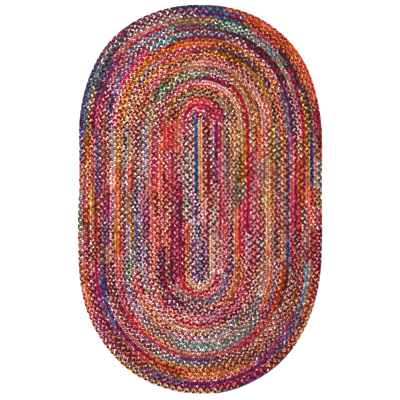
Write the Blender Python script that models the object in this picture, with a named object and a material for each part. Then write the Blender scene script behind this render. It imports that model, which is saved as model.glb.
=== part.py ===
"""Braided rug: one flat oval mat, coiled from a single three-strand braid.

Metres, +Z up, lying on z = 0 with the long axis along Y. The braid starts at the top
of a straight centre run, goes down it, turns at the lower end and winds clockwise
round it, seen from above. Each round is a ridge of the upper face; the lacing
between two rounds is a groove. The underside is flat.
"""

from math import cos, pi, sin

import bmesh
import bpy

# Driving dimensions
LENGTH = 2.438
WIDTH = 1.524
THICKNESS = 0.012
ROUNDS = 30  # rounds on each side of the centre run

# The centre run's ends, and where the outermost round starts to curve
CORE_TOP = 0.498
CORE_BOTTOM = -0.484
OUTER_TOP = 0.387
OUTER_BOTTOM = -0.384

# A round's ends are ellipses near the core and slightly squarer at the rim
SQUARE_TOP = 0.20
SQUARE_BOTTOM = 0.10

PITCH = WIDTH / (2 * ROUNDS + 1)
LAST_TOP = ROUNDS + 0.5  # index of the outer edge at the upper end
LAST_BOTTOM = ROUNDS  # and at the lower end, where each round moves out by one

# Across one round, in pitches from its middle line: the groove, then the crest's sides
COLUMNS = (-0.5, -0.2, 0.2, 0.5)
GROOVE_HEIGHT = 0.70 * THICKNESS
RIM_HEIGHT = 0.45 * THICKNESS
FOOT_INSET = 0.004  # how far the underside's edge lies inside the rim

# Steps round one turn of the coil
SIDE_STEPS = 3
ARC_STEPS = 26
TAPER_END = 12  # step of the lower arc at which the tapered last round ends

COLOUR = (0.30, 0.115, 0.10, 1.0)


def blend(start, end, share):
    """The value at that share of the way from start to end."""
    return start + (end - start) * share


def arc_point(index, angle, upper):
    """The point of a round, index pitches from the core, on its upper or lower end.

    The angle runs from 0 at the right side to pi at the left. The lower arcs are
    centred half a pitch to the left, which moves the braid out by one round.
    """
    last = LAST_TOP if upper else LAST_BOTTOM
    core = CORE_TOP if upper else -CORE_BOTTOM
    outer = OUTER_TOP if upper else -OUTER_BOTTOM
    share = index / last
    centre = blend(core, outer, share)
    across = index * PITCH
    along = blend(core, LENGTH / 2, share) - centre
    power = 2 + (SQUARE_TOP if upper else SQUARE_BOTTOM) * share
    reach = 0.0
    if index > 0:
        reach = (abs(cos(angle) / across) ** power + abs(sin(angle) / along) ** power) ** (-1 / power)
    x = reach * cos(angle)
    y = centre + reach * sin(angle)
    return (x, y) if upper else (x - PITCH / 2, -y)


def taper(step):
    """The last round's share of its full width at a step of its lower arc."""
    return 1 - step / TAPER_END


def turn_points(turn, across):
    """Points down the right side, round the lower end, up the left side and over the top.

    Turn 0 starts with the centre run. The last turn ends where its taper does.
    """
    middle = turn + 0.5
    last = turn == ROUNDS
    right = turn + across
    top_right = (right * PITCH, arc_point(abs(right), 0, True)[1])
    low_right = (right * PITCH, arc_point(middle + across, 0, False)[1])
    points = [
        (top_right[0], blend(top_right[1], low_right[1], step / SIDE_STEPS))
        for step in range(SIDE_STEPS)
    ]
    for step in range(TAPER_END + 1 if last else ARC_STEPS):
        index = turn + taper(step) * (0.5 + across) if last else middle + across
        points.append(arc_point(index, pi * step / ARC_STEPS, False))
    if last:
        return points
    left = middle + 0.5 + across
    low_left = arc_point(middle + across, pi, False)
    top_left = arc_point(left, pi, True)
    points += [
        (low_left[0], blend(low_left[1], top_left[1], step / SIDE_STEPS))
        for step in range(SIDE_STEPS)
    ]
    points += [arc_point(left, pi - pi * step / ARC_STEPS, True) for step in range(ARC_STEPS)]
    next_start = (left * PITCH, arc_point(left, 0, True)[1])
    return points + [next_start]


def braid_top(bm):
    """The upper face: one ridged strip per turn, each sharing its grooves with the next."""
    for turn in range(ROUNDS + 1):
        rows = []
        for across in COLUMNS:
            height = THICKNESS if abs(across) < 0.5 else GROOVE_HEIGHT
            rows.append([bm.verts.new((x, y, height)) for x, y in turn_points(turn, across)])
        for inner, outer in zip(rows, rows[1:]):
            for step in range(len(inner) - 1):
                bm.faces.new((inner[step], outer[step], outer[step + 1], inner[step + 1]))


def braid_start(bm):
    """The rounded start of the centre run, inside the first arc over the top."""
    crest = bm.verts.new((0, CORE_TOP + PITCH / 5, THICKNESS))
    inner_edge = turn_points(0, COLUMNS[0])[-ARC_STEPS - 1 :]
    ring = [bm.verts.new((x, y, GROOVE_HEIGHT)) for x, y in inner_edge]
    for across in reversed(COLUMNS[1:-1]):
        x, y = turn_points(0, across)[0]
        ring.append(bm.verts.new((x, y, THICKNESS)))
    for one, two in zip(ring, ring[1:] + ring[:1]):
        bm.faces.new((crest, one, two))


def close_below(bm):
    """Turns the open upper face into a solid: a rounded rim down to a flat underside."""
    edge = [e for e in bm.edges if e.is_boundary]
    for vert in {v for e in edge for v in e.verts}:
        vert.co.z = RIM_HEIGHT
    lower = bmesh.ops.extrude_edge_only(bm, edges=edge)["geom"]
    for vert in (g for g in lower if isinstance(g, bmesh.types.BMVert)):
        flat = vert.co.xy
        vert.co.xy = flat - flat.normalized() * FOOT_INSET
        vert.co.z = 0
    foot = [g for g in lower if isinstance(g, bmesh.types.BMEdge) and g.is_boundary]
    bmesh.ops.contextual_create(bm, geom=foot)


def cotton():
    material = bpy.data.materials.new("braided_cotton")
    material.use_nodes = True
    surface = material.node_tree.nodes["Principled BSDF"]
    surface.inputs["Base Color"].default_value = COLOUR
    surface.inputs["Roughness"].default_value = 0.9
    surface.inputs["Metallic"].default_value = 0.0
    return material


def braided_rug():
    bm = bmesh.new()
    braid_top(bm)
    braid_start(bm)
    bmesh.ops.remove_doubles(bm, verts=bm.verts, dist=0.00005)
    close_below(bm)
    bmesh.ops.recalc_face_normals(bm, faces=bm.faces)
    mesh = bpy.data.meshes.new("braided_rug")
    bm.to_mesh(mesh)
    bm.free()
    mesh.materials.append(cotton())
    mesh.shade_smooth()
    rug = bpy.data.objects.new("braided_rug", mesh)
    bpy.context.scene.collection.objects.link(rug)
    return rug


def main():
    for old in list(bpy.data.objects):
        bpy.data.objects.remove(old)
    braided_rug()


main()
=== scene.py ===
"""Braided rag rug, dressed around its solid.

One long three-strand braid of cloth strips is coiled into an oval and laced edge to edge.
The braid is modelled strand by strand, so both faces and the rim are the real plait. The
colours follow a plan of the rags in the order in which the braid was made, from the
centre run outwards. Metres, +Z up, the rug lying on z = 0 with its long axis along Y.
"""

from math import pi

import bmesh
import bpy
import numpy as np
from bpy.props import FloatProperty, FloatVectorProperty, IntProperty, PointerProperty
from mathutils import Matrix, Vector


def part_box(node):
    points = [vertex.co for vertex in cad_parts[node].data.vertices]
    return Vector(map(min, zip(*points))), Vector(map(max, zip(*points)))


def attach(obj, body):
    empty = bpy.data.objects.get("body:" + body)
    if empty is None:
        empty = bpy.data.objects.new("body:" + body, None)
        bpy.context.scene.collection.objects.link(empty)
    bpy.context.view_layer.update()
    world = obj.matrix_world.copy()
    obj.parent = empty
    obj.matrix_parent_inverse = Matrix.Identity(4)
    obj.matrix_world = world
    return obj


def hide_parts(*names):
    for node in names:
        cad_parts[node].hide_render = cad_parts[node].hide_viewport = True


bl_info = {
    "name": "Braided Rug",
    "version": (1, 0, 0),
    "blender": (4, 5, 0),
    "location": "3D View > Sidebar > Rug",
    "description": "An oval rug coiled from a three-strand braid of cloth strips",
    "category": "Add Mesh",
}

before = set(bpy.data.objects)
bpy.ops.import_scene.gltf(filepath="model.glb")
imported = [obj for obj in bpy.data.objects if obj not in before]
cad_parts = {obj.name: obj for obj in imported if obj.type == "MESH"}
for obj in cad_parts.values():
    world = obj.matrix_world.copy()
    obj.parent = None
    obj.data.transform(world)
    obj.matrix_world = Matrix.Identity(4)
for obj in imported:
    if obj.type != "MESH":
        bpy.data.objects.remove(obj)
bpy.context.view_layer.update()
SOLID = "braided_rug"
SOLID_LOW, SOLID_HIGH = (Vector(corner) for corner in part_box(SOLID))
SOLID_SIZE = SOLID_HIGH - SOLID_LOW

# The coil, as in the part's source
CORE_TOP = 0.498
CORE_BOTTOM = -0.484
OUTER_TOP = 0.387
OUTER_BOTTOM = -0.384
SQUARE_TOP = 0.20
SQUARE_BOTTOM = 0.10
TAPER_END = 12 / 26 * pi  # angle of the lower arc at which the last round ends

# The rounded start of the centre run: pitches beyond CORE_TOP, and share of the full width
START_BEYOND = np.array([0.34, 0.17])
START_SHARE = np.array([0.45, 0.75])

# Points of the middle line on each straight side and on each end arc of a turn
SIDE_STEPS = 30
ARC_STEPS = 120

STRANDS = 3
RINGS_PER_CYCLE = 9  # rings of a strand in each stitch cycle
EDGE_TURN = 0.08  # how sharply a strand turns back at the braid's side
DEEPEST = 0.75 * pi  # phase at which a strand is lowest, once in each half cycle

# Where the braid is thinned, the least share of its width, and the powers of that share by
# which it gets lower and its strips smaller
THINNEST = 0.16
HEIGHT_POWER = 0.5
STRIP_POWER = 0.6

# What varies along an uneven braid: how far, and the metres from one bump to the next
TENSION = (1.4, 0.34)  # where the strands cross, in radians
LAG = (0.10, 0.065)  # the same, for one strand alone
SWING = (0.10, 0.08)  # how far a strand swings sideways, as a share
LIFT = (0.12, 0.08)  # how far it rises and dips, as a share
FULLNESS = (0.11, 0.05)  # how thick its strip is, as a share
STRAY_WAVE = 0.30  # metres between the bumps of a round that strays

# Slow waves by which neighbouring rounds stray together: their strength, radians per metre
# along x and along y, and start
WAVES_ACROSS = ((1.0, 1.3, 4.6, 0.6), (0.6, -5.6, 10.6, 2.0))
WAVES_ALONG = ((1.0, 5.1, -2.1, 1.4), (0.6, 9.4, 6.9, 0.0))

# Share of the print's colour in a stitch: where the print shows, where it doesn't, and in
# the small spots of its mottle
PRINTED = (0.3, 0.8)
UNPRINTED = (0.0, 0.06)
MOTTLE_SHARE = 0.2
RUN_JITTER = 0.004  # spread of a run's start from strand to strand, in turns of the coil

# Shade painted into the cloths' colours, where the strands dive and at the strips' edges
RISING_LIGHT = 1.25  # how soon a rising stitch comes into full light
SIDE_LIGHT = 0.8  # how light a strip's edges are at the side of the braid
SIDE_FOCUS = 4  # and how narrow that lighter place is
SHADE_STRENGTH = 1.8  # how much stronger a cloth's own hue gets in the shade
TINT_SHARE = 0.25  # spread of a stitch's tint beside that of its brightness

# Fineness of the cloth's patterns along a strip, across it and from strand to strand
CREASES = (38.0, 3.6, 1.0)
WEAVE = (1400.0, 7.0, 1.0)
MOTTLE = (210.0, 1.6, 7.0)
WEAVE_HEIGHT = 0.25  # height of the weave beside the creases
STRAND_APART = 5.0  # keeps the patterns of two strands apart

PLY_SINK = 0.0040  # how far the layer of inner plies and lacing, near black as painted shade, lies inside the solid
PLY_SPOTS = 2.2  # brightness of the plies' spots beside their own
SECTION_CROWN = 0.56  # share of a strip's width at which its faces start to fall off

# Sockets of a Mix node that hold its colours
MIX_FIRST, MIX_SECOND, MIX_RESULT = 6, 7, 2

# How far the floor reaches each way, and where the key light hangs and how wide it is
FLOOR_REACH = 24
KEY_PLACE = Vector((-2.6, 3.0, 4.6))
KEY_WIDTH = 1.45

SEED = 20
LUMINANCE = np.array([0.2126, 0.7152, 0.0722])

# The photo's frame, and where the rug's middle lies in it
FRAME_PIXELS = 400
RUG_TOP_ROW = 4
RUG_BOTTOM_ROW = 393
RUG_CENTRE = (200.1, 198.8)

# name, colour of the cloth, colour of its print or of the light threads in it
CLOTHS = (
    ("navy", (0.028, 0.028, 0.074), (0.23, 0.27, 0.43)),
    ("blue", (0.043, 0.138, 0.27), (0.48, 0.70, 0.80)),
    ("teal", (0.015, 0.100, 0.100), (0.22, 0.45, 0.39)),
    ("plum", (0.094, 0.012, 0.086), (0.41, 0.20, 0.40)),
    ("magenta", (0.32, 0.004, 0.080), (0.62, 0.08, 0.28)),
    ("lilac", (0.29, 0.175, 0.27), (0.78, 0.64, 0.66)),
    ("maroon", (0.132, 0.004, 0.018), (0.55, 0.11, 0.18)),
    ("crimson", (0.455, 0.005, 0.051), (0.78, 0.16, 0.23)),
    ("red", (0.63, 0.030, 0.022), (0.90, 0.25, 0.19)),
    ("coral", (0.62, 0.158, 0.128), (0.88, 0.50, 0.45)),
    ("pink", (0.76, 0.265, 0.305), (0.96, 0.71, 0.70)),
    ("peach", (0.92, 0.42, 0.30), (0.98, 0.72, 0.62)),
    ("cream", (0.69, 0.48, 0.45), (0.92, 0.83, 0.80)),
    ("orange", (0.74, 0.200, 0.014), (0.92, 0.48, 0.15)),
    ("rust", (0.27, 0.031, 0.005), (0.61, 0.22, 0.05)),
    ("gold", (0.73, 0.34, 0.085), (0.93, 0.69, 0.45)),
    ("olive", (0.146, 0.095, 0.011), (0.60, 0.45, 0.14)),
    ("leaf", (0.038, 0.186, 0.124), (0.30, 0.70, 0.60)),
    ("grey", (0.215, 0.172, 0.163), (0.72, 0.61, 0.60)),
    ("charcoal", (0.017, 0.008, 0.013), (0.25, 0.16, 0.21)),
    ("brown", (0.088, 0.008, 0.002), (0.38, 0.09, 0.025)),
)

# The plan of the rags, a paragraph for each turn of the coil. It lists the runs of the braid: the
# hundredths of the turn already made where the run starts (00 right side, 25 lower end, 50 left
# side, 75 upper end), and the cloths of its three strands.
RUNS = """\
00 peach gold peach, 08 peach gold peach, 13 peach maroon cream, 16 navy maroon cream,
20 navy cream blue, 25 lilac plum lilac, 36 plum cream lilac, 45 lilac plum pink,
50 plum pink lilac, 55 blue cream navy, 60 navy navy cream, 64 navy blue navy, 70 navy blue navy,
75 navy lilac brown, 87 navy cream brown, 94 navy brown plum

00 maroon brown pink, 05 maroon rust peach, 13 pink cream coral, 17 coral pink navy,
20 navy pink plum, 25 plum lilac charcoal, 33 plum cream navy, 40 charcoal pink cream,
46 navy plum cream, 50 navy maroon cream, 55 cream plum pink, 59 peach cream navy,
66 navy cream peach, 71 navy coral cream, 75 navy plum cream, 81 maroon coral crimson,
88 coral crimson cream, 95 rust crimson coral

00 rust orange brown, 02 maroon brown pink, 06 maroon rust maroon, 12 rust maroon peach,
16 plum rust pink, 20 navy pink plum, 25 peach plum cream, 32 peach cream coral,
40 peach cream orange, 46 peach coral gold, 50 orange rust peach, 54 red orange rust,
58 cream charcoal grey, 62 grey cream charcoal, 66 grey olive cream, 70 maroon peach grey,
75 pink crimson cream, 80 crimson pink cream, 86 plum magenta lilac, 93 magenta plum pink

00 pink crimson cream, 03 cream lilac plum, 07 cream magenta maroon, 10 coral maroon peach,
14 peach maroon cream, 18 peach cream peach, 25 peach peach coral, 32 peach coral cream,
38 coral crimson peach, 44 crimson coral maroon, 50 crimson coral maroon, 55 coral maroon pink,
59 cream grey maroon, 63 grey cream navy, 68 cream olive maroon, 72 maroon crimson pink,
76 crimson maroon crimson, 82 crimson red crimson, 90 crimson crimson magenta,
96 magenta crimson pink

00 plum magenta plum, 06 plum lilac crimson, 10 pink charcoal cream, 13 cream charcoal peach,
17 navy cream orange, 21 navy cream peach, 25 pink maroon coral, 30 crimson pink maroon,
35 crimson pink crimson, 40 crimson crimson red, 48 crimson maroon crimson,
53 maroon crimson plum, 58 maroon plum charcoal, 62 maroon plum crimson, 65 pink maroon coral,
70 crimson coral cream, 75 coral peach crimson, 83 coral red peach, 92 coral red magenta

00 crimson coral crimson, 05 crimson coral pink, 10 crimson pink red, 14 coral crimson maroon,
18 cream grey maroon, 21 coral cream crimson, 25 crimson pink maroon, 30 crimson pink peach,
36 crimson coral grey, 42 pink crimson grey, 47 crimson maroon lilac, 52 maroon crimson pink,
60 maroon plum coral, 66 maroon coral grey, 70 coral orange crimson, 76 coral rust olive,
83 red brown coral, 90 rust maroon coral, 93 charcoal coral crimson

00 grey pink charcoal, 05 grey cream maroon, 10 maroon grey pink, 14 coral red pink,
20 pink crimson cream, 26 lilac pink grey, 32 lilac grey plum, 40 grey lilac olive,
43 olive peach grey, 46 maroon plum charcoal, 52 maroon crimson plum, 60 maroon coral plum,
64 coral crimson maroon, 70 coral maroon red, 75 maroon coral brown, 80 grey peach charcoal,
85 charcoal olive cream, 92 grey peach olive, 97 pink olive charcoal

00 olive peach charcoal, 05 maroon grey olive, 10 maroon pink coral, 16 crimson pink coral,
20 maroon coral pink, 25 grey lilac plum, 31 navy grey lilac, 35 cream navy coral,
40 coral charcoal cream, 44 maroon cream coral, 48 maroon grey peach, 51 orange peach maroon,
57 peach maroon gold, 62 gold maroon crimson, 66 crimson coral pink, 71 crimson red coral,
75 coral olive maroon, 79 gold olive maroon, 86 olive gold charcoal, 92 coral olive grey,
97 peach olive navy

00 peach olive coral, 05 orange maroon peach, 10 cream olive maroon, 16 cream maroon charcoal,
21 cream charcoal plum, 25 coral brown peach, 30 coral maroon pink, 33 crimson coral peach,
36 maroon pink plum, 40 maroon crimson navy, 44 charcoal maroon crimson, 50 charcoal crimson navy,
54 crimson coral pink, 60 maroon peach crimson, 66 maroon crimson peach, 71 crimson red orange,
75 coral peach olive, 80 coral rust peach, 86 coral peach red, 93 peach maroon olive

00 peach gold olive, 05 olive leaf peach, 09 grey leaf maroon, 14 coral peach orange,
20 orange coral peach, 25 orange coral peach, 30 coral peach rust, 33 maroon plum cream,
37 grey pink maroon, 42 plum charcoal pink, 47 charcoal maroon lilac, 53 crimson rust coral,
58 coral maroon peach, 62 coral red peach, 68 peach coral crimson, 73 maroon coral crimson,
78 plum crimson pink, 84 pink crimson cream, 89 cream pink peach, 93 peach cream coral

00 cream gold olive, 05 brown orange olive, 10 olive brown grey, 13 crimson red coral,
18 red crimson red, 22 orange gold maroon, 26 red coral olive, 32 pink crimson lilac,
37 crimson pink cream, 41 magenta navy pink, 44 peach brown coral, 50 coral red peach,
55 orange maroon peach, 60 maroon orange navy, 64 crimson pink red, 70 coral grey crimson,
73 olive cream maroon, 80 olive grey plum, 84 maroon grey olive, 88 maroon crimson plum,
92 peach maroon coral, 96 olive peach red

00 gold orange olive, 06 gold rust olive, 09 grey maroon peach, 13 crimson magenta peach,
18 magenta crimson pink, 24 crimson pink coral, 29 maroon pink crimson, 33 pink cream crimson,
38 crimson peach coral, 43 peach maroon coral, 49 coral peach rust, 55 coral red pink,
61 crimson coral orange, 66 crimson pink magenta, 72 crimson coral grey, 76 olive peach coral,
80 olive leaf cream, 85 olive cream teal, 89 maroon crimson cream, 93 crimson maroon red

00 crimson maroon red, 04 crimson red maroon, 09 crimson magenta red, 13 magenta crimson magenta,
19 maroon pink cream, 24 crimson pink maroon, 29 coral crimson pink, 33 maroon pink magenta,
37 maroon crimson pink, 41 crimson coral cream, 45 coral maroon cream, 51 plum pink maroon,
57 plum pink maroon, 63 coral pink grey, 69 peach pink olive, 74 olive peach leaf,
79 leaf olive charcoal, 83 orange leaf brown, 85 teal cream grey, 88 grey olive cream,
94 leaf peach coral

00 coral olive cream, 04 maroon pink crimson, 09 magenta pink cream, 15 crimson cream magenta,
19 maroon coral pink, 24 peach crimson maroon, 30 charcoal maroon pink, 35 coral olive peach,
41 cream maroon peach, 46 navy cream gold, 50 navy lilac cream, 54 rust maroon lilac,
60 maroon coral lilac, 64 pink grey maroon, 67 blue cream lilac, 72 navy cream lilac,
76 maroon peach olive, 80 leaf coral brown, 84 orange coral leaf, 88 teal coral maroon,
92 rust orange olive, 97 orange rust peach

00 orange coral brown, 04 crimson peach grey, 10 coral crimson peach, 16 coral maroon pink,
20 maroon crimson peach, 26 maroon pink peach, 30 pink teal plum, 33 cream olive peach,
38 cream grey gold, 42 peach crimson cream, 47 crimson cream navy, 50 charcoal plum cream,
54 lilac plum cream, 58 plum lilac cream, 63 navy lilac cream, 66 peach navy orange,
71 grey coral navy, 76 coral maroon rust, 81 rust peach red, 86 coral cream olive,
91 leaf peach coral, 96 orange teal maroon

00 orange red peach, 06 grey plum peach, 11 crimson pink plum, 16 crimson magenta pink,
19 plum navy cream, 24 orange brown cream, 29 peach olive maroon, 32 teal grey cream,
36 peach maroon cream, 41 gold peach crimson, 45 crimson cream orange, 50 charcoal cream teal,
55 plum teal lilac, 60 plum lilac charcoal, 65 charcoal cream grey, 69 maroon brown cream,
74 rust peach maroon, 79 coral maroon peach, 84 maroon olive coral, 88 pink coral maroon,
94 peach cream coral

00 coral peach maroon, 05 grey coral olive, 10 olive gold cream, 15 olive peach rust,
19 crimson peach olive, 24 grey cream coral, 28 teal plum cream, 31 maroon lilac cream,
34 lilac cream pink, 38 blue cream lilac, 41 coral grey peach, 46 maroon peach coral,
49 teal cream coral, 54 rust olive peach, 59 rust olive lilac, 64 rust coral maroon,
70 orange maroon cream, 75 orange brown peach, 80 orange gold rust, 86 orange pink rust,
91 pink maroon olive, 96 crimson grey peach

00 coral rust cream, 05 peach cream coral, 10 gold cream orange, 15 peach cream coral,
20 coral gold peach, 25 coral orange cream, 29 olive plum cream, 32 leaf peach olive,
36 teal leaf cream, 40 olive maroon cream, 44 navy lilac cream, 48 leaf cream navy,
52 lilac grey cream, 58 rust olive peach, 64 rust coral peach, 69 olive grey peach,
75 navy cream peach, 79 maroon blue cream, 82 crimson rust pink, 87 orange rust olive,
93 gold olive orange, 97 orange rust pink

00 rust olive gold, 06 orange olive coral, 12 peach orange olive, 17 peach coral olive,
21 coral peach rust, 26 red orange coral, 30 leaf grey cream, 35 leaf grey cream,
39 coral leaf peach, 43 grey coral cream, 47 plum grey pink, 52 plum crimson lilac,
58 maroon plum cream, 63 blue cream plum, 68 cream charcoal grey, 73 charcoal cream grey,
76 orange cream rust, 80 gold coral olive, 83 crimson rust cream, 89 charcoal olive plum,
94 olive navy gold, 97 navy gold charcoal

00 olive navy peach, 06 teal grey rust, 12 navy maroon peach, 18 navy maroon grey,
24 grey plum peach, 28 coral plum grey, 32 grey blue coral, 36 peach blue orange,
40 peach olive orange, 44 crimson pink charcoal, 48 orange coral rust, 52 orange red maroon,
57 peach orange maroon, 60 orange coral rust, 66 olive charcoal orange, 70 olive orange peach,
75 orange gold brown, 80 olive orange red, 85 orange coral red, 89 gold maroon navy,
95 maroon orange pink

00 peach rust navy, 06 coral maroon peach, 12 gold maroon coral, 18 coral peach crimson,
24 peach navy coral, 28 coral crimson navy, 31 crimson coral maroon, 35 crimson coral grey,
38 crimson lilac red, 42 crimson red coral, 46 crimson pink coral, 50 red coral peach,
53 orange gold olive, 59 coral peach orange, 63 orange coral rust, 69 orange olive peach,
74 peach brown coral, 78 maroon coral peach, 82 red orange plum, 85 orange rust olive,
91 orange rust peach, 96 charcoal orange pink

00 orange gold brown, 05 peach navy orange, 12 peach maroon grey, 18 peach olive coral,
24 orange rust red, 30 red crimson grey, 33 olive pink crimson, 36 navy blue crimson,
39 blue cream crimson, 43 magenta crimson pink, 46 maroon cream charcoal, 50 pink maroon cream,
55 pink cream maroon, 58 pink cream magenta, 64 cream pink peach, 70 cream pink leaf,
75 pink cream magenta, 79 magenta crimson pink, 83 teal blue cream, 86 navy plum crimson,
90 coral navy peach, 96 teal plum lilac

00 navy plum lilac, 06 navy plum grey, 14 navy grey maroon, 20 navy plum blue,
25 charcoal navy rust, 29 coral olive cream, 33 olive navy peach, 37 blue grey cream,
41 brown rust cream, 46 rust maroon pink, 50 coral olive pink, 54 plum maroon lilac,
60 maroon crimson plum, 65 pink cream maroon, 70 cream grey plum, 75 navy cream maroon,
78 blue navy pink, 81 crimson navy pink, 84 teal blue cream, 87 navy maroon cream,
91 plum maroon charcoal, 96 maroon navy plum

00 plum crimson coral, 03 coral red peach, 09 coral red pink, 14 crimson red pink,
20 crimson coral charcoal, 25 coral navy peach, 29 orange navy pink, 33 peach olive rust,
37 orange peach olive, 41 coral pink lilac, 45 magenta pink cream, 47 navy plum charcoal,
51 charcoal grey maroon, 54 plum navy lilac, 59 maroon plum pink, 63 maroon coral olive,
68 brown coral olive, 73 olive coral maroon, 76 navy pink maroon, 80 teal maroon pink,
85 olive maroon navy, 90 maroon brown charcoal, 95 charcoal plum cream

00 maroon charcoal pink, 04 maroon crimson coral, 10 plum crimson maroon, 18 plum charcoal pink,
23 charcoal pink maroon, 27 maroon olive pink, 32 coral olive plum, 35 orange coral rust,
39 rust maroon red, 42 maroon magenta plum, 45 navy blue plum, 49 maroon pink olive,
53 maroon coral brown, 58 maroon rust peach, 63 plum lilac maroon, 68 maroon plum pink,
75 plum pink maroon, 79 maroon coral lilac, 82 navy blue cream, 86 teal navy crimson,
88 leaf cream navy, 92 teal leaf lilac, 94 orange leaf pink, 97 pink maroon cream

00 maroon peach pink, 05 rust orange crimson, 12 rust maroon coral, 18 rust coral maroon,
25 coral olive maroon, 30 pink grey navy, 34 orange coral gold, 38 orange red brown,
41 crimson olive pink, 44 plum olive lilac, 47 magenta plum crimson, 50 maroon rust coral,
54 maroon crimson rust, 60 rust plum maroon, 63 plum lilac navy, 69 plum grey navy,
75 navy crimson coral, 78 crimson plum navy, 81 coral navy crimson, 85 coral olive teal,
88 leaf cream olive, 92 leaf navy coral, 95 maroon crimson navy, 98 crimson red maroon

00 rust olive crimson, 06 rust coral maroon, 11 red orange crimson, 14 charcoal cream maroon,
18 pink maroon cream, 22 maroon leaf pink, 26 maroon crimson cream, 29 magenta lilac magenta,
33 coral peach magenta, 38 coral teal olive, 41 coral maroon charcoal, 45 maroon plum coral,
50 olive peach brown, 54 gold peach olive, 60 gold orange olive, 65 orange coral plum,
71 plum coral peach, 75 crimson maroon navy, 78 navy teal plum, 81 coral pink grey,
85 olive coral teal, 89 teal leaf navy, 91 coral crimson navy, 93 navy maroon charcoal,
97 olive gold brown

00 olive gold maroon, 05 olive gold coral, 09 orange coral pink, 13 crimson coral cream,
18 pink coral grey, 23 crimson maroon pink, 25 blue teal cream, 28 blue plum lilac,
31 blue magenta navy, 33 plum magenta navy, 38 blue plum magenta, 41 orange maroon navy,
45 crimson pink maroon, 50 maroon pink charcoal, 54 red rust navy, 58 rust orange red,
61 orange peach rust, 68 orange gold rust, 73 brown olive orange, 76 olive maroon peach,
79 teal charcoal maroon, 82 plum cream grey, 87 plum navy charcoal, 90 orange rust maroon,
94 orange coral brown, 97 navy olive charcoal

00 navy plum navy, 05 navy plum blue, 10 red coral maroon, 14 orange red peach,
19 rust maroon coral, 25 orange coral teal, 29 orange maroon navy, 33 crimson maroon coral,
37 maroon plum coral, 40 navy blue orange, 43 pink crimson navy, 46 gold orange crimson,
50 pink coral maroon, 54 grey olive pink, 58 rust pink plum, 63 orange rust grey,
69 orange rust navy, 75 navy grey teal, 80 leaf navy peach, 82 plum cream maroon,
86 maroon lilac navy, 88 navy blue teal, 90 rust coral red, 94 coral orange rust,
98 crimson coral navy

00 pink olive plum, 05 cream olive pink, 10 orange peach maroon, 14 coral maroon pink,
19 crimson coral maroon, 23 crimson peach maroon, 26 crimson olive coral, 29 rust maroon peach,
33 plum magenta navy, 36 gold cream brown, 41 orange cream charcoal, 44 maroon cream coral,
48 grey maroon peach, 52 peach grey coral, 56 leaf cream teal, 61 leaf peach grey,
65 peach charcoal coral, 70 lilac charcoal grey, 75 navy blue plum, 80 charcoal crimson grey,
83 navy cream maroon, 86 teal navy charcoal, 89 orange coral rust, 94 orange red coral,
98 maroon charcoal crimson

00 charcoal maroon rust, 02 coral rust grey, 05 grey teal cream, 10 maroon cream grey,
15 rust coral maroon, 19 charcoal maroon pink, 25 crimson pink maroon, 28 orange olive peach,
31 maroon charcoal plum, 34 charcoal navy plum"""

# name of the piece, first and last turn of the coil that it holds
BRAID_PIECES = (
    ("braid_rounds_00_07", 0, 7),
    ("braid_rounds_08_13", 8, 13),
    ("braid_rounds_14_18", 14, 18),
    ("braid_rounds_19_22", 19, 22),
    ("braid_rounds_23_26", 23, 26),
    ("braid_rounds_27_30", 27, 30),
)


def sized(name, description, default):
    return FloatProperty(
        name=name, description=description, default=default, unit="LENGTH", precision=4
    )


def plain(name, description, default):
    return FloatProperty(name=name, description=description, default=default)


def coloured(name, description, default):
    return FloatVectorProperty(
        name=name, description=description, default=default, size=3, subtype="COLOR"
    )


class BraidSettings(bpy.types.PropertyGroup):
    """Sizes of the braid, and how evenly it was made"""

    rounds: IntProperty(
        name="Rounds", description="Rounds on each side of the centre run", default=30
    )
    stitch_cycle: sized(
        "Stitch Cycle", "Length of braid in which a strand crosses over and back", 0.0445
    )
    strand_width: sized("Strand Width", "Width of a folded strip", 0.0096)
    strand_thickness: sized("Strand Thickness", "Thickness of a folded strip", 0.0060)
    slant: plain("Slant", "How much steeper the stitches of the upper face cross, 0 to 1", 0.4)
    carry: plain(
        "Carry", "How far a stitch of the upper face starts before the middle, in radians", 0.10
    )
    edge_overlap: sized("Edge Overlap", "How far neighbouring rounds press into each other", 0.0045)
    unevenness: plain("Unevenness", "How unevenly the braid is plaited, 0 to 1", 0.6)
    stray: sized("Stray", "How far one round strays from its neighbours", 0.0025)
    hand_wobble: sized("Hand Wobble", "How far the rounds stray from their even line", 0.0030)


class ColourSettings(bpy.types.PropertyGroup):
    """How the cloths' colours vary from rag to rag and from stitch to stitch"""

    # Near black: the layer stands for the inner plies and lacing, coloured as painted shade between
    # the stitches
    inner_plies: coloured("Plies and Painted Shade", "Colour deep between the stitches", (0.040, 0.005, 0.008))
    print_share: plain("Print Share", "Share of stitches that show a cloth's print", 0.2)
    # Painted shade: the tone of the cloth where it dives between its neighbours
    recess_shade: plain("Recess", "Tone of the cloth where it dives between its neighbours", 0.05)
    # Painted shade: the tone of the strips' edges
    edge_shade_tone: plain("Edge Tone", "Tone of the strips' rolled edges", 0.11)
    fading: plain("Fading", "How far a strand took on the hue of its neighbours", 0.15)
    patch_spread: plain("Patch Spread", "Spread of brightness within a stitch", 0.1)
    rag_spread: plain("Rag Spread", "Spread of brightness from rag to rag", 0.27)
    tint_spread: plain("Tint Spread", "Spread of tint from rag to rag", 0.10)
    contrast: plain(
        "Contrast", "How far the light and dark rags of a run are driven apart", 0.12
    )
    tone_spread: plain("Tone Spread", "Spread of brightness from stitch to stitch", 0.25)


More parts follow.
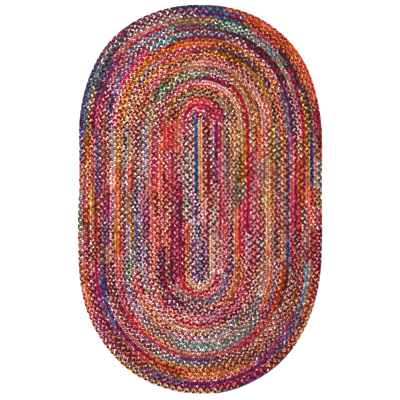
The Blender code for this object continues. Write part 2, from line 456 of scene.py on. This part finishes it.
class StageSettings(bpy.types.PropertyGroup):
    """Floor, lens and lights"""

    floor: coloured("Floor", "Colour of the floor", (0.93, 0.93, 0.93))
    lens: FloatProperty(name="Lens", description="Focal length in millimetres", default=120.0)
    key_power: FloatProperty(
        name="Key Light", description="Power of the main light", default=450.0, unit="POWER"
    )
    fill_strength: plain("Fill", "Strength of the soft light from all around", 1.14)


def blend(start, end, share):
    return start + (end - start) * share


def pitch(braid):
    """Distance between neighbouring rounds."""
    return SOLID_SIZE.x / (2 * braid.rounds + 1)


def arc_points(braid, index, angle, upper):
    """Places on a round's end arcs, as in the solid: index in pitches, angle 0 at the right."""
    step = pitch(braid)
    last = braid.rounds + (0.5 if upper else 0.0)
    core = CORE_TOP if upper else -CORE_BOTTOM
    outer = OUTER_TOP if upper else -OUTER_BOTTOM
    share = index / last
    centre = blend(core, outer, share)
    across = np.maximum(index * step, 1e-6)
    along = np.maximum(blend(core, SOLID_SIZE.y / 2, share) - centre, 1e-6)
    power = 2 + (SQUARE_TOP if upper else SQUARE_BOTTOM) * share
    sides = abs(np.cos(angle) / across) ** power + abs(np.sin(angle) / along) ** power
    reach = sides ** (-1 / power)
    x = reach * np.cos(angle)
    y = centre + reach * np.sin(angle)
    return (x, y) if upper else (x - step / 2, -y)


def middle_line(braid):
    """The braid's middle line: x, y, turns wound so far, and share of the full width."""
    step = pitch(braid)
    side = np.arange(SIDE_STEPS) / SIDE_STEPS
    arc = np.arange(ARC_STEPS) / ARC_STEPS
    lines = []

    def add(x, y, turns, share=1.0):
        lines.append(np.broadcast_arrays(x, y, turns, share))

    add(0.0, CORE_TOP + START_BEYOND * step, -START_BEYOND / 100, START_SHARE)
    for turn in range(braid.rounds + 1):
        top = arc_points(braid, turn, 0.0, True)[1]
        low = arc_points(braid, turn + 0.5, 0.0, False)[1]
        add(turn * step, blend(top, low, side), turn + side / 4)
        if turn == braid.rounds:
            break
        add(*arc_points(braid, turn + 0.5, pi * arc, False), turn + (1 + arc) / 4)
        low = arc_points(braid, turn + 0.5, pi, False)[1]
        top = arc_points(braid, turn + 1, pi, True)[1]
        add(-(turn + 1) * step, blend(low, top, side), turn + (2 + side) / 4)
        add(*arc_points(braid, turn + 1, pi - pi * arc, True), turn + (3 + arc) / 4)
    angle = np.linspace(0, TAPER_END, ARC_STEPS // 2)
    share = 1 - angle / TAPER_END
    x, y = arc_points(braid, braid.rounds + share / 2, angle, False)
    add(x, y, braid.rounds + (1 + angle / pi) / 4, share)
    return (np.concatenate(column) for column in zip(*lines))


def slow_noise(length, wave, draw):
    """Smooth noise of about -1 to 1 along the braid, with bumps about wave metres apart."""
    knots = np.arange(length.min() - 2 * wave, length.max() + 3 * wave, wave)
    heights = draw.uniform(-1, 1, len(knots))
    fine = np.interp(length, knots, heights)
    offset = np.interp(length + wave / 2, knots, heights)
    return (fine + offset) / 2


def wobble(x, y, amount):
    """Moves places a little the same way as their neighbours, as hands and laces do."""
    across, along = (
        sum(strength * np.sin(by_x * x + by_y * y + start) for strength, by_x, by_y, start in waves)
        for waves in (WAVES_ACROSS, WAVES_ALONG)
    )
    return x + amount * across, y + amount * along


def rag_runs():
    """Where each run of the plan starts, in turns of the coil, and the numbers of its cloths."""
    names = [name for name, _, _ in CLOTHS]
    starts, cloths = [], []
    for turn, runs in enumerate(RUNS.split("\n\n")):
        for run in runs.split(","):
            hundredths, *rags = run.split()
            starts.append(turn + int(hundredths) / 100)
            cloths.append([names.index(rag) for rag in rags])
    return np.array(starts), np.array(cloths)


def deepened(cloth, tone):
    """Cloth in the shade of its neighbours: darker, and stronger in its own hue."""
    strongest = cloth.max(axis=1)[:, None]
    return cloth * tone * (cloth / strongest) ** (SHADE_STRENGTH * (1 - tone))


def faded(cloth, company, share):
    """Cloth that took on some of the hue of the strands it was washed with."""
    hue = company / (company @ LUMINANCE)[:, None]
    return blend(cloth, hue * (cloth @ LUMINANCE)[:, None], share)


class Braid:
    """The three strands of the whole braid, as rings along each strand."""

    def __init__(self, braid, colours):
        self.braid, self.colours = braid, colours
        self.draw = np.random.default_rng(SEED)
        self.follow_coil()
        self.phase = 2 * pi * self.length / braid.stitch_cycle + self.uneven(TENSION)
        self.starts, self.plan = rag_runs()
        self.cloths = np.array([main for _, main, _ in CLOTHS])
        self.prints = np.array([light for _, _, light in CLOTHS])
        self.tones = self.rag_tones()
        self.strands = [self.strand(number) for number in range(STRANDS)]

    def follow_coil(self):
        """Rings at even steps along the coil: where they lie, and which way is out."""
        braid = self.braid
        x, y, turns, share = middle_line(braid)
        x, y = wobble(x, y, braid.hand_wobble)
        length = np.concatenate([[0], np.cumsum(np.hypot(np.diff(x), np.diff(y)))])
        count = int(length[-1] / braid.stitch_cycle * RINGS_PER_CYCLE)
        self.length = np.linspace(0, length[-1], count)
        self.x, self.y, self.turns, self.share = (
            np.interp(self.length, length, values) for values in (x, y, turns, share)
        )
        along = np.stack([np.gradient(self.x), np.gradient(self.y)])
        along /= np.hypot(*along)
        self.out = np.stack([-along[1], along[0]])
        stray = braid.stray * slow_noise(self.length, STRAY_WAVE, self.draw)
        self.x = self.x + stray * self.out[0]
        self.y = self.y + stray * self.out[1]

    def uneven(self, variation):
        """How far something varies at each ring, by the unevenness of the braid."""
        reach, wave = variation
        return reach * self.braid.unevenness * slow_noise(self.length, wave, self.draw)

    def rag_tones(self):
        """A tone and tint for each rag of a run, with the run as bright as the plan has it."""
        colours = self.colours
        bright = self.cloths[self.plan] @ LUMINANCE
        tones = np.exp(self.draw.normal(0, colours.rag_spread, bright.shape))
        tones *= bright ** colours.contrast
        tones *= (bright.sum(axis=1) / (bright * tones).sum(axis=1))[:, None]
        tints = np.exp(self.draw.normal(0, colours.tint_spread, (*bright.shape, 3)))
        return tones[:, :, None] * tints

    def strand(self, number):
        """Places, sizes and colours of one strand."""
        braid, colours = self.braid, self.colours
        phase = self.phase + number * 2 * pi / STRANDS + self.uneven(LAG)
        phase = phase - braid.slant / 2 * np.cos(2 * (phase + braid.carry))
        swing = (pitch(braid) + braid.edge_overlap - braid.strand_width) / 2
        lift = (SOLID_SIZE.z - braid.strand_thickness) / 2
        swing = swing * (1 + self.uneven(SWING))
        lift = lift * (1 + self.uneven(LIFT))
        thinned = np.clip(self.share, THINNEST, 1)
        turned = (np.sin(phase) - EDGE_TURN * np.sin(3 * phase)) / (1 + EDGE_TURN)
        side = swing * thinned * turned
        risen = np.sin(2 * (phase + braid.carry))
        height = SOLID_SIZE.z / 2 + lift * thinned ** HEIGHT_POWER * risen
        size = thinned ** STRIP_POWER * (1 + self.uneven(FULLNESS))
        height = np.maximum(height, size * braid.strand_thickness / 2)
        places = np.stack([self.x + side * self.out[0], self.y + side * self.out[1], height])
        main, accent = self.cloth(number, phase)
        # Painted shade: cloth and print darkened, and deepened in hue, where the strand dives between
        # its neighbours
        lit = np.clip(RISING_LIGHT * abs(np.sin(phase + braid.carry)), 0, 1)
        tone = blend(colours.recess_shade, 1, lit)[:, None]
        main, accent = deepened(main, tone), deepened(accent, tone)
        # Painted shade for the strips' edges, lighter where the strip turns at the side of the braid
        edge_shade_tone = blend(colours.edge_shade_tone, 1, SIDE_LIGHT * np.sin(phase) ** SIDE_FOCUS)[:, None]
        return {
            "places": places.T,
            "size": size,
            "phase": phase,
            "main": main,
            "print": accent,
            "edge": deepened(main, edge_shade_tone),
        }

    def cloth(self, number, phase):
        """Cloth and print colour at each ring: one tone for each stitch that shows."""
        colours = self.colours
        starts = self.starts + self.draw.normal(0, RUN_JITTER, len(self.starts))
        starts[0] = -1
        run = np.searchsorted(np.sort(starts), self.turns, side="right") - 1
        run = np.clip(run, 0, len(starts) - 1)
        which = self.plan[run, number]
        stitch = np.floor((phase - DEEPEST) / pi).astype(int)
        stitch -= stitch.min()
        stitches = stitch.max() + 1
        shown = self.draw.uniform(0, 1, stitches) < colours.print_share
        printed = self.draw.uniform(*PRINTED, stitches)
        unprinted = self.draw.uniform(*UNPRINTED, stitches)
        mixing = np.where(shown, printed, unprinted)[stitch][:, None]
        tone = np.exp(self.draw.normal(0, colours.tone_spread, stitches))
        tint = np.exp(self.draw.normal(0, colours.tone_spread * TINT_SHARE, (stitches, 3)))
        patch = np.exp(self.draw.normal(0, colours.patch_spread, len(phase)))
        shade = (tone[:, None] * tint)[stitch] * patch[:, None] * self.tones[run, number]
        company = self.cloths[self.plan].mean(axis=1)[run]
        mixed = blend(self.cloths[which], self.prints[which], mixing)
        mixed = faded(mixed, company, colours.fading)
        light = faded(self.prints[which], company, colours.fading)
        return np.clip(mixed * shade, 0, 1), np.clip(light * shade, 0, 1)


def nodes_of(material):
    material.use_nodes = True
    tree = material.node_tree
    return tree, tree.nodes["Principled BSDF"]


def add_node(tree, kind, **values):
    node = tree.nodes.new(kind)
    for name, value in values.items():
        setattr(node, name, value)
    return node


def set_inputs(node, **values):
    for name, value in values.items():
        node.inputs[name.replace("_", " ")].default_value = value
    return node


def noise_on(tree, places, fineness, detail, roughness=0.5):
    """Noise over linked places, with its own fineness along each of their axes."""
    mapping = set_inputs(add_node(tree, "ShaderNodeMapping"), Scale=fineness)
    noise = add_node(tree, "ShaderNodeTexNoise")
    set_inputs(noise, Scale=1.0, Detail=detail, Roughness=roughness)
    tree.links.new(places, mapping.inputs["Vector"])
    tree.links.new(mapping.outputs["Vector"], noise.inputs["Vector"])
    return noise.outputs["Fac"]


def mixed_colours(tree, share, first, second):
    """The mix of two linked colours, by the linked share of the second."""
    mix = add_node(tree, "ShaderNodeMix", data_type="RGBA")
    tree.links.new(share, mix.inputs["Factor"])
    tree.links.new(first, mix.inputs[MIX_FIRST])
    tree.links.new(second, mix.inputs[MIX_SECOND])
    return mix.outputs[MIX_RESULT]


def cloth_group():
    """Shared look of cotton cloth: long creases, the weave, and the mottle of a small print."""
    old = bpy.data.node_groups.get("cotton_cloth")
    if old:
        return old
    tree = bpy.data.node_groups.new("cotton_cloth", "ShaderNodeTree")
    socket = tree.interface.new_socket
    socket("Strip", in_out="INPUT", socket_type="NodeSocketVector")
    socket("Crease Depth", in_out="INPUT", socket_type="NodeSocketFloat").default_value = 1.0
    for name in ("Height", "Mottle", "Roughness"):
        socket(name, in_out="OUTPUT", socket_type="NodeSocketFloat")
    start = tree.nodes.new("NodeGroupInput")
    end = tree.nodes.new("NodeGroupOutput")
    strip = start.outputs["Strip"]
    link = tree.links.new

    deep = add_node(tree, "ShaderNodeMath", operation="MULTIPLY")
    link(noise_on(tree, strip, CREASES, detail=2.0, roughness=0.55), deep.inputs[0])
    link(start.outputs["Crease Depth"], deep.inputs[1])
    weave = noise_on(tree, strip, WEAVE, detail=1.0)
    total = add_node(tree, "ShaderNodeMath", operation="MULTIPLY_ADD")
    total.inputs[1].default_value = WEAVE_HEIGHT
    link(weave, total.inputs[0])
    link(deep.outputs[0], total.inputs[2])
    link(total.outputs[0], end.inputs["Height"])

    spots = add_node(tree, "ShaderNodeMapRange", interpolation_type="SMOOTHSTEP")
    set_inputs(spots, From_Min=0.54, From_Max=0.66)
    link(noise_on(tree, strip, MOTTLE, detail=1.5), spots.inputs["Value"])
    link(spots.outputs["Result"], end.inputs["Mottle"])

    matt = set_inputs(add_node(tree, "ShaderNodeMapRange"), To_Min=0.74, To_Max=0.95)
    link(weave, matt.inputs["Value"])
    link(matt.outputs["Result"], end.inputs["Roughness"])
    return tree


def strip_material():
    """Cotton strips: cloth colour with its print, edges darkened as painted shade, creases and weave.
    """
    material = bpy.data.materials.new("cotton_strips")
    tree, surface = nodes_of(material)
    link = tree.links.new
    strip, cloth, light, shadowed = (
        add_node(tree, "ShaderNodeAttribute", attribute_name=name)
        for name in ("strip", "cloth_colour", "print_colour", "edge_shade_colour")
    )
    look = add_node(tree, "ShaderNodeGroup", node_tree=cloth_group())
    link(strip.outputs["Vector"], look.inputs["Strip"])
    share = add_node(tree, "ShaderNodeMath", operation="MULTIPLY")
    share.inputs[1].default_value = MOTTLE_SHARE
    link(look.outputs["Mottle"], share.inputs[0])
    printed = mixed_colours(tree, share.outputs[0], cloth.outputs["Color"], light.outputs["Color"])

    # Painted shade: towards the strip's edges the colour blends into the darker edge colour
    place = add_node(tree, "ShaderNodeSeparateXYZ")
    link(strip.outputs["Vector"], place.inputs[0])
    off_middle = add_node(tree, "ShaderNodeMath", operation="ABSOLUTE")
    link(place.outputs["Y"], off_middle.inputs[0])
    edge = add_node(tree, "ShaderNodeMapRange", interpolation_type="SMOOTHSTEP")
    set_inputs(edge, From_Min=0.20, From_Max=0.80)
    link(off_middle.outputs[0], edge.inputs["Value"])
    shaded = mixed_colours(tree, edge.outputs["Result"], printed, shadowed.outputs["Color"])
    link(shaded, surface.inputs["Base Color"])
    link(look.outputs["Roughness"], surface.inputs["Roughness"])

    bump = set_inputs(add_node(tree, "ShaderNodeBump"), Strength=0.9, Distance=0.0016)
    link(look.outputs["Height"], bump.inputs["Height"])
    link(bump.outputs["Normal"], surface.inputs["Normal"])
    set_inputs(surface, Sheen_Weight=0.02, Sheen_Roughness=0.5, Specular_IOR_Level=0.05)
    return material


def plies_and_shade_material(colour):
    """The strips' inner plies and the lacing, seen only in the dark gaps, coloured near black as
    painted shade.
    """
    material = bpy.data.materials.new("inner_plies")
    tree, surface = nodes_of(material)
    link = tree.links.new
    place = add_node(tree, "ShaderNodeTexCoord")
    look = add_node(tree, "ShaderNodeGroup", node_tree=cloth_group())
    set_inputs(look, Crease_Depth=0.5)
    link(place.outputs["Object"], look.inputs["Strip"])
    mix = add_node(tree, "ShaderNodeMix", data_type="RGBA")
    link(look.outputs["Mottle"], mix.inputs["Factor"])
    mix.inputs[MIX_FIRST].default_value = (*colour, 1)
    mix.inputs[MIX_SECOND].default_value = (*(PLY_SPOTS * part for part in colour), 1)
    link(mix.outputs[MIX_RESULT], surface.inputs["Base Color"])
    link(look.outputs["Roughness"], surface.inputs["Roughness"])
    set_inputs(surface, Specular_IOR_Level=0.05)
    return material


def link_object(name, data):
    """An object for the data, in the scene."""
    made = bpy.data.objects.new(name, data)
    bpy.context.scene.collection.objects.link(made)
    return made


def remove_curve(made):
    """Removes a curve object with its curve."""
    curve = made.data
    bpy.data.objects.remove(made)
    bpy.data.curves.remove(curve)


def strip_section(braid):
    """Cross-section of a folded strip, run clockwise so that the tube faces outwards.

    Also gives each corner's place across the strip, from -1 to 1.
    """
    crown = SECTION_CROWN
    corners = ((1, 0), (crown, -1), (-crown, -1), (-1, 0), (-crown, 1), (crown, 1))
    curve = bpy.data.curves.new("strip_section", "CURVE")
    line = curve.splines.new("POLY")
    line.points.add(len(corners) - 1)
    for point, (across, up) in zip(line.points, corners):
        point.co = (across * braid.strand_width / 2, up * braid.strand_thickness / 2, 0, 1)
    line.use_cyclic_u = True
    return link_object("strip_section", curve), np.array([across for across, _ in corners])


def strand_curve(name, section, strands):
    """One curve object with a spline for each strand, swept with the strip's section."""
    curve = bpy.data.curves.new(name, "CURVE")
    curve.dimensions = "3D"
    curve.twist_mode = "Z_UP"
    curve.bevel_mode = "OBJECT"
    curve.bevel_object = section
    for strand in strands:
        line = curve.splines.new("POLY")
        line.points.add(len(strand["places"]) - 1)
        places = np.ones((len(strand["places"]), 4))
        places[:, :3] = strand["places"]
        line.points.foreach_set("co", places.ravel())
        line.points.foreach_set("radius", strand["size"])
    return link_object(name, curve)


def swept_mesh(name, swept):
    """The mesh that the curve object makes, in its place."""
    bpy.context.view_layer.update()
    graph = bpy.context.evaluated_depsgraph_get()
    mesh = bpy.data.meshes.new_from_object(swept.evaluated_get(graph))
    mesh.name = name
    remove_curve(swept)
    return mesh


def colour_rings(mesh, strands, across, cycle):
    """Colours, and each point's place on its strip, from the order of the rings."""
    rings = sum(len(strand["places"]) for strand in strands)
    sides = len(across)
    if len(mesh.vertices) != rings * sides:
        raise RuntimeError(f"{mesh.name}: {len(mesh.vertices)} points, not {rings * sides}")
    # Cloth and print colours carry the painted shade of the dives, and the edge colour is painted
    # shade for the strips' edges
    attributes = (("cloth_colour", "main"), ("print_colour", "print"), ("edge_shade_colour", "edge"))
    for name, key in attributes:
        values = np.ones((rings, sides, 4), np.float32)
        values[:, :, :3] = np.concatenate([strand[key] for strand in strands])[:, None, :]
        layer = mesh.attributes.new(name, "FLOAT_COLOR", "POINT")
        layer.data.foreach_set("color", values.ravel())
    strip = np.zeros((rings, sides, 3), np.float32)
    along = np.concatenate([strand["phase"] * cycle / (2 * pi) for strand in strands])
    number = np.concatenate([np.full(len(s["places"]), k) for k, s in enumerate(strands)])
    strip[:, :, 0] = along[:, None]
    strip[:, :, 1] = across[None, :]
    strip[:, :, 2] = number[:, None] * STRAND_APART
    layer = mesh.attributes.new("strip", "FLOAT_VECTOR", "POINT")
    layer.data.foreach_set("vector", strip.ravel())


def close_ends(mesh):
    """Smooths the strands and fills their open ends with flat caps."""
    bm = bmesh.new()
    bm.from_mesh(mesh)
    open_edges = [edge for edge in bm.edges if edge.is_boundary]
    caps = bmesh.ops.holes_fill(bm, edges=open_edges, sides=0)["faces"]
    for face in bm.faces:
        face.smooth = True
    for cap in caps:
        cap.smooth = False
        for edge in cap.edges:
            edge.smooth = False
    bm.to_mesh(mesh)
    bm.free()


def link_piece(name, mesh, material):
    mesh.materials.clear()
    mesh.materials.append(material)
    piece = link_object(name, mesh)
    return piece


class RUG_OT_plies_and_painted_shade(bpy.types.Operator):
    """Add the rug-wide layer of inner plies and lacing, near black as painted shade, that shows
    between the stitches
    """

    bl_idname = "rug.inner_plies"
    bl_label = "Plies and Painted Shade"

    def execute(self, context):
        solid = bpy.data.objects[SOLID]
        bm = bmesh.new()
        bm.from_mesh(solid.data)
        bmesh.ops.remove_doubles(bm, verts=bm.verts, dist=0.00002)
        bm.normal_update()
        for vert in bm.verts:
            vert.co -= vert.normal * PLY_SINK
        mesh = bpy.data.meshes.new("rug_plies_and_painted_shade")
        bm.to_mesh(mesh)
        bm.free()
        mesh.shade_smooth()
        # The layer's colour is near black, painted shade for the gaps between the stitches
        material = plies_and_shade_material(context.scene.rug_colours.inner_plies)
        piece = link_piece("rug_plies_and_painted_shade", mesh, material)
        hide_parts(SOLID)
        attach(piece, "root")
        return {"FINISHED"}


class RUG_OT_braid(bpy.types.Operator):
    """Add the coiled braid, strand by strand"""

    bl_idname = "rug.braid"
    bl_label = "Braid"

    def execute(self, context):
        settings = context.scene.rug_braid
        braid = Braid(settings, context.scene.rug_colours)
        section, across = strip_section(settings)
        material = strip_material()
        turn = np.maximum(np.floor(braid.turns), 0)
        for name, first, last in BRAID_PIECES:
            held = np.flatnonzero((turn >= first) & (turn <= last))
            rings = slice(max(held[0] - 1, 0), held[-1] + 1)  # with the last ring of the piece before
            strands = [
                {key: values[rings] for key, values in strand.items()} for strand in braid.strands
            ]
            mesh = swept_mesh(name, strand_curve(name, section, strands))
            colour_rings(mesh, strands, across, settings.stitch_cycle)
            close_ends(mesh)
            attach(link_piece(name, mesh, material), "root")
        remove_curve(section)
        return {"FINISHED"}


class RUG_OT_declare(bpy.types.Operator):
    bl_idname = "rug.declare"
    bl_label = "Flat Size"

    def execute(self, context):
        return {"FINISHED"}


class RUG_OT_stage(bpy.types.Operator):
    """Add the pale floor, the soft lights and the camera overhead"""

    bl_idname = "rug.stage"
    bl_label = "Stage"

    def execute(self, context):
        stage = context.scene.rug_stage
        scene = context.scene
        scene.view_settings.view_transform = "Standard"
        self.add_floor(stage)
        self.add_lights(scene, stage)
        self.add_camera(scene, stage)
        return {"FINISHED"}

    def add_floor(self, stage):
        bm = bmesh.new()
        bmesh.ops.create_grid(bm, x_segments=1, y_segments=1, size=FLOOR_REACH)
        mesh = bpy.data.meshes.new("floor")
        bm.to_mesh(mesh)
        bm.free()
        material = bpy.data.materials.new("floor")
        _, surface = nodes_of(material)
        set_inputs(surface, Base_Color=(*stage.floor, 1), Roughness=0.9, Specular_IOR_Level=0.1)
        mesh.materials.append(material)
        floor = link_object("floor", mesh)

    def add_lights(self, scene, stage):
        """White light from all around, and a soft key light aimed at the rug's middle."""
        world = bpy.data.worlds.new("studio")
        world.use_nodes = True
        sky = world.node_tree.nodes["Background"]
        set_inputs(sky, Color=(1, 1, 1, 1), Strength=stage.fill_strength)
        scene.world = world
        light = bpy.data.lights.new("key", "AREA")
        light.energy = stage.key_power
        light.shape = "DISK"
        light.size = KEY_WIDTH
        key = link_object("key", light)
        key.location = KEY_PLACE
        key.rotation_euler = (-KEY_PLACE).to_track_quat("-Z", "Y").to_euler()

    def add_camera(self, scene, stage):
        """Straight above, so far up that the rug spans the photo's rows."""
        data = bpy.data.cameras.new("overhead")
        data.lens = stage.lens
        data.sensor_width = 36
        data.clip_end = 100
        metres_per_pixel = SOLID_SIZE.y / (RUG_BOTTOM_ROW - RUG_TOP_ROW)
        view_width = FRAME_PIXELS * metres_per_pixel
        middle = FRAME_PIXELS / 2
        x = (middle - RUG_CENTRE[0]) * metres_per_pixel
        y = (RUG_CENTRE[1] - middle) * metres_per_pixel
        camera = link_object("overhead", data)
        camera.location = (x, y, SOLID_HIGH.z + view_width * stage.lens / data.sensor_width)
        scene.camera = camera


class RUG_PT_sidebar(bpy.types.Panel):
    """The rug's pieces and settings in the sidebar"""

    bl_label = "Braided Rug"
    bl_idname = "RUG_PT_sidebar"
    bl_space_type = "VIEW_3D"
    bl_region_type = "UI"
    bl_category = "Rug"

    def draw(self, context):
        scene = context.scene
        for operator in OPERATORS:
            self.layout.operator(operator.bl_idname)
        for settings in (scene.rug_braid, scene.rug_colours, scene.rug_stage):
            for name in settings.__annotations__:
                self.layout.prop(settings, name)


OPERATORS = (RUG_OT_plies_and_painted_shade, RUG_OT_braid, RUG_OT_declare, RUG_OT_stage)
CLASSES = (BraidSettings, ColourSettings, StageSettings, *OPERATORS, RUG_PT_sidebar)


def register():
    for cls in CLASSES:
        bpy.utils.register_class(cls)
    bpy.types.Scene.rug_braid = PointerProperty(type=BraidSettings)
    bpy.types.Scene.rug_colours = PointerProperty(type=ColourSettings)
    bpy.types.Scene.rug_stage = PointerProperty(type=StageSettings)


def unregister():
    del bpy.types.Scene.rug_stage
    del bpy.types.Scene.rug_colours
    del bpy.types.Scene.rug_braid
    for cls in reversed(CLASSES):
        bpy.utils.unregister_class(cls)


def main():
    register()
    bpy.ops.rug.inner_plies()
    bpy.ops.rug.braid()
    bpy.ops.rug.declare()
    bpy.ops.rug.stage()
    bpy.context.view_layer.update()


if __name__ == "__main__":
    main()
